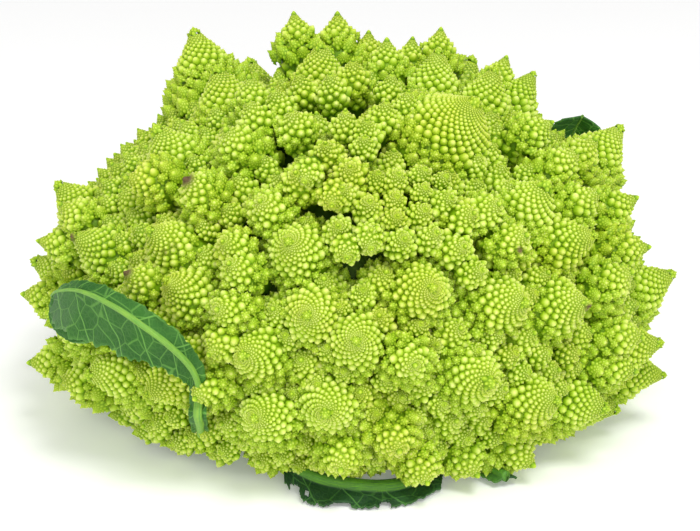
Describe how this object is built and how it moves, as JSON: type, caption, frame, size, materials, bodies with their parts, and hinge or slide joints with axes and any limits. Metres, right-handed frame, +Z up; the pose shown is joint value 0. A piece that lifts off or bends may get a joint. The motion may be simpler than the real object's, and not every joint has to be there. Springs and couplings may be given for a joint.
{
  "type": "romanesco head",
  "caption": "Squat dome of spiralled conical florets on a short cut stalk, with torn leaf remains, resting on the stalk's flat cut face.",
  "frame": {"origin": "centre of the stalk's flat cut face, on the surface that the head rests on", "axes": "+Z up out of the stalk into the head, +X to the right as seen from the front, along the head's widest way, +Y away from the front"},
  "size_m": [0.2064, 0.1738, 0.1227],
  "materials": {
    "curd": "satin yellow-green florets, paler at the tips and deeper green in the gaps",
    "stalk": "pale green skin with a moist whitish cut face",
    "leaf": "dark green waxy blade with pale green rib and veins"
  },
  "bodies": {
    "root": {"curd": "curd", "stalk": "stalk", "leaf_left": "leaf", "leaf_front": "leaf", "leaf_back": "leaf", "leaf_stub": "leaf"}
  },
  "joints": []
}
